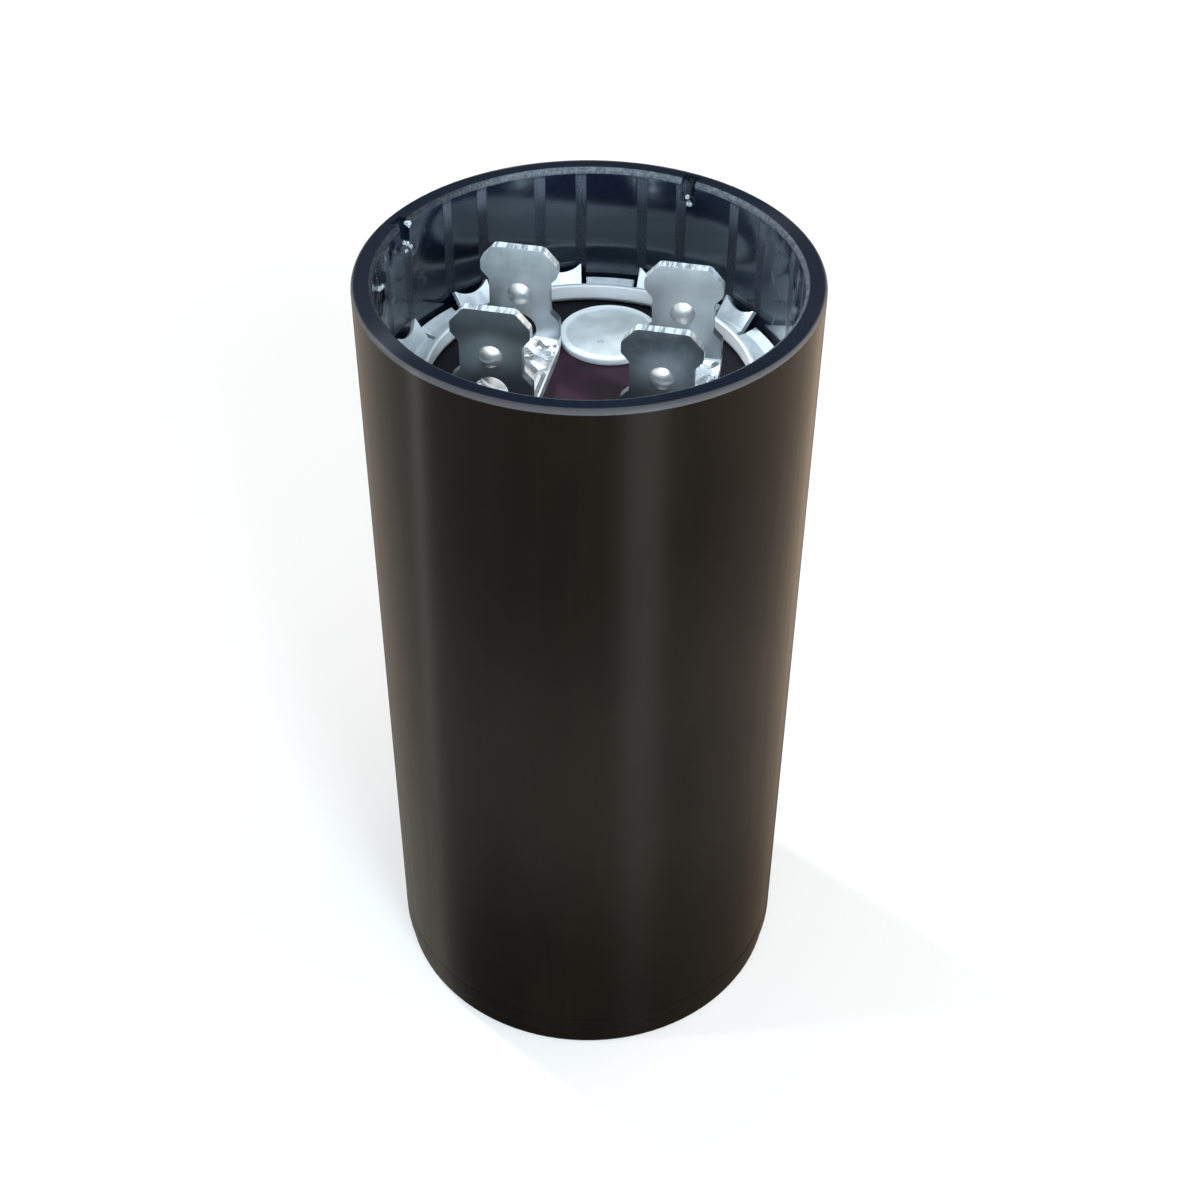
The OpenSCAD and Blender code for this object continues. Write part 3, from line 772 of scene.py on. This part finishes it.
# %% Floor
FLOOR_R = 3.0
FADE_R = (0.10, 0.30)
SHEET = (0.58, 0.56, 0.53)
CAMERA_SHEET = (0.25, 0.25, 0.25)
MIRROR_GLOW = 0.70
CAMERA_GLOW = 0.44
WHITE = (1, 1, 1, 1)


def emptied(owner):
    """The node tree of a material or a world, with nothing in it yet."""
    owner.use_nodes = True
    owner.node_tree.nodes.clear()
    return Nodes(owner.node_tree)


def seen(tree):
    """Two switches: on for camera rays, and on for those and for rays by mirror or glass."""
    path = tree.node("ShaderNodeLightPath").outputs
    by_camera = path["Is Camera Ray"]
    return by_camera, tree.most(by_camera, path["Is Glossy Ray"], path["Is Transmission Ray"])


bm = bmesh.new()
bmesh.ops.create_circle(bm, cap_ends=True, segments=96, radius=FLOOR_R)
floor = placed("floor", bm)

paper = bpy.data.materials.new("floor_paper")
ground = emptied(paper)
by_camera, directly = seen(ground)
away = ground.vector("LENGTH", ground.node("ShaderNodeTexCoord").outputs["Object"])
near_glow = ground.span(by_camera, MIRROR_GLOW, CAMERA_GLOW)
glow = ground.times(ground.span(ground.ramp(away, *FADE_R), near_glow, 1), directly)
sheet = ground.node("ShaderNodeBsdfDiffuse", ground.mix(by_camera, SHEET, CAMERA_SHEET))
own_light = ground.node("ShaderNodeEmission", WHITE, glow)
both = ground.node("ShaderNodeAddShader", sheet.outputs[0], own_light.outputs[0])
ground.node("ShaderNodeOutputMaterial", both.outputs[0])
floor.data.materials.append(paper)
print("floor", 2 * FLOOR_R, "m across, own glow", CAMERA_GLOW, "to the camera")

# %% Surroundings
FILL = 0.45
FILL_RISE = (-0.1, 0.7)
world = bpy.data.worlds.new("surroundings")
bpy.context.scene.world = world
sky = emptied(world)
_, directly = seen(sky)
rise = sky.split(sky.node("ShaderNodeTexCoord").outputs["Generated"])["Z"]
upward = sky.node("ShaderNodeMapRange", rise, *FILL_RISE).outputs["Result"]
fill = sky.node("ShaderNodeBackground", sky.mix(upward, (1.0, 0.86, 0.72), (0.75, 0.89, 1.0)), FILL)
white = sky.node("ShaderNodeBackground", WHITE, 1)
choice = sky.node("ShaderNodeMixShader", directly, fill.outputs[0], white.outputs[0])
sky.node("ShaderNodeOutputWorld", choice.outputs[0])
print("surroundings white to the camera, a fill of", FILL, "on the part")

# %% [markdown]
# Six soft boxes light the part as in a small studio. A small key stands behind at the left and a
# wide cool one hangs overhead in front, and both reach into the recess. A narrow one at the left
# draws the thin upright highlight on the case, and one low in front at the right draws the broad
# one. Two weak warm ones, low at the left and the right, stand for warm light off the
# surroundings.

# %% Soft boxes
TARGET = Vector((0, 0, 47)) * MM
# Azimuths count from the side of the part that the camera stands on.
CAMERA_TURN = math.radians(12.185)


def soft_box(name, azimuth, elevation, away_mm, width_mm, height_mm, watts, colour):
    lamp = bpy.data.lights.new(name, "AREA")
    lamp.shape = "RECTANGLE"
    lamp.size = width_mm * MM
    lamp.size_y = height_mm * MM
    lamp.energy = watts
    lamp.color = colour
    turn = math.radians(azimuth) + CAMERA_TURN
    rise = math.radians(elevation)
    back = Vector((math.sin(turn) * math.cos(rise), -math.cos(turn) * math.cos(rise),
                   math.sin(rise)))
    holder = bpy.data.objects.new(name, lamp)
    holder.location = TARGET + back * away_mm * MM
    holder.rotation_euler = (-back).to_track_quat("-Z", "Y").to_euler()
    holder.visible_camera = False
    bpy.context.scene.collection.objects.link(holder)
    print(name, "at", [round(v / MM) for v in holder.location], "mm")


# Name, azimuth and elevation in degrees, distance, width and height in mm, watts, colour.
soft_box("key", -131, 41, 600, 45, 45, 3.4, (0.92, 0.98, 1.0))
soft_box("overhead", 20, 62, 420, 280, 280, 1.57, (0.80, 0.92, 1.0))
soft_box("left_strip", -80, 6, 300, 16, 90, 1.05, (0.88, 0.95, 1.0))
soft_box("right_front", 24, 9, 350, 100, 90, 3.2, (0.74, 0.90, 1.0))
soft_box("warm_left", -125, 12, 350, 160, 160, 0.3, (1.0, 0.78, 0.58))
soft_box("warm_right", 95, 9, 190, 300, 60, 0.75, (1.0, 0.74, 0.52))
